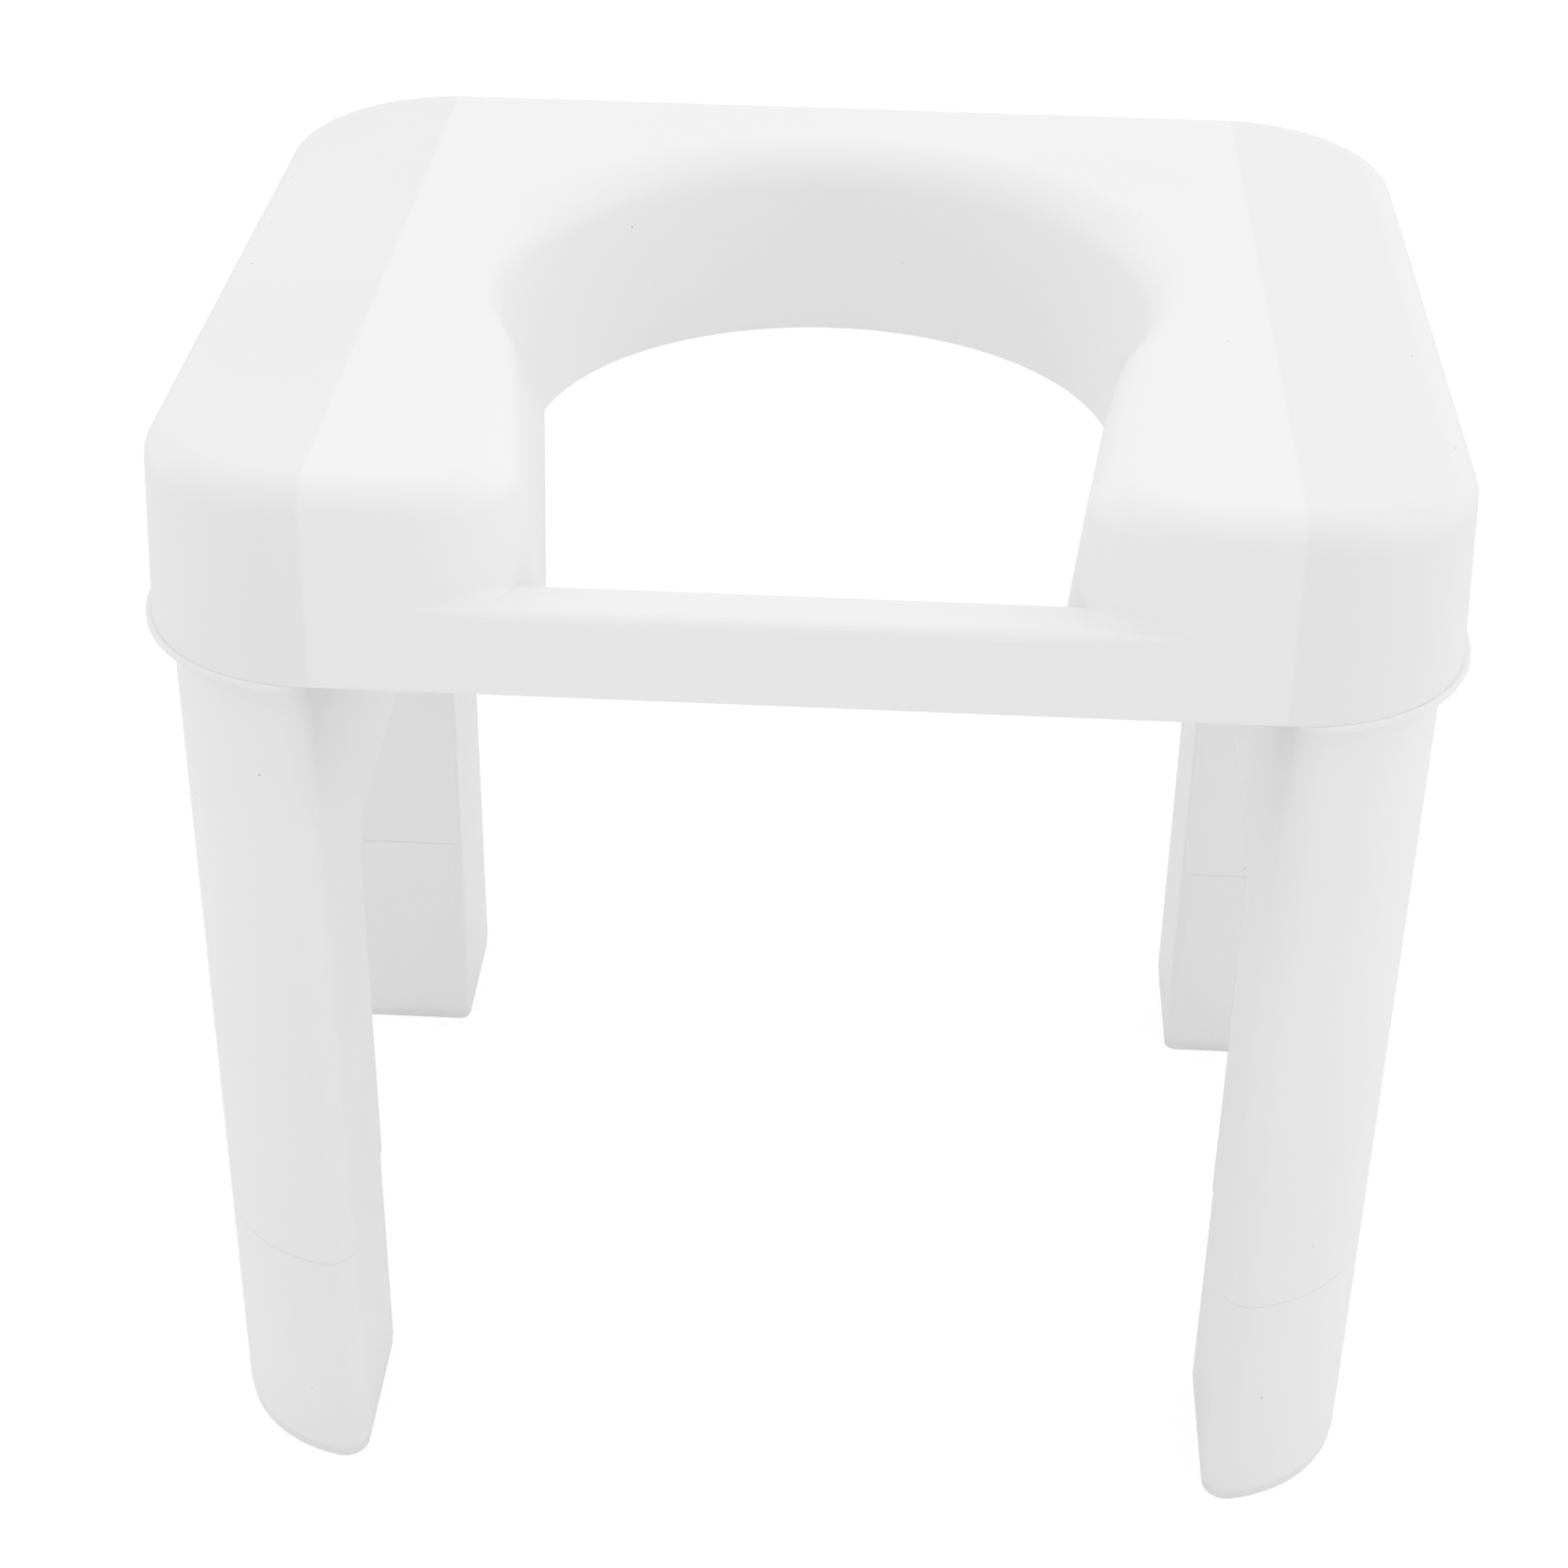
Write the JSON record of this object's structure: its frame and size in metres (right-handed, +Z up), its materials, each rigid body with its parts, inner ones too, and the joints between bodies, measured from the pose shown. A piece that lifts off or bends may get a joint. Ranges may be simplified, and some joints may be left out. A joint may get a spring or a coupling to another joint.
{
  "type": "toilet stool",
  "caption": "Low plastic seat with a keyhole opening and a front crossbar, on two arched leg frames that plug in from below and end in push-on feet with soft pads",
  "frame": {"origin": "on the floor, under the middle of the stool", "axes": "+Z up, +X to the right of someone who faces the front, the front with the crossbar faces -Y"},
  "size_m": [0.3896, 0.322, 0.365],
  "materials": {
    "seat_white": "satin moulded",
    "leg_white": "satin moulded",
    "pad_white": "matte"
  },
  "bodies": {
    "seat": {"seat": "seat_white"},
    "left_leg": {"left_leg_frame": "leg_white", "front_left_foot": "leg_white", "rear_left_foot": "leg_white", "front_left_pad": "pad_white", "rear_left_pad": "pad_white"},
    "right_leg": {"right_leg_frame": "leg_white", "front_right_foot": "leg_white", "rear_right_foot": "leg_white", "front_right_pad": "pad_white", "rear_right_pad": "pad_white"}
  },
  "joints": [
    {"name": "left_leg_slide", "type": "slide", "parent": "seat", "child": "left_leg", "axis": [0, 0, -1], "range_m": [0, 0.055]},
    {"name": "right_leg_slide", "type": "slide", "parent": "seat", "child": "right_leg", "axis": [0, 0, -1], "range_m": [0, 0.055]}
  ]
}
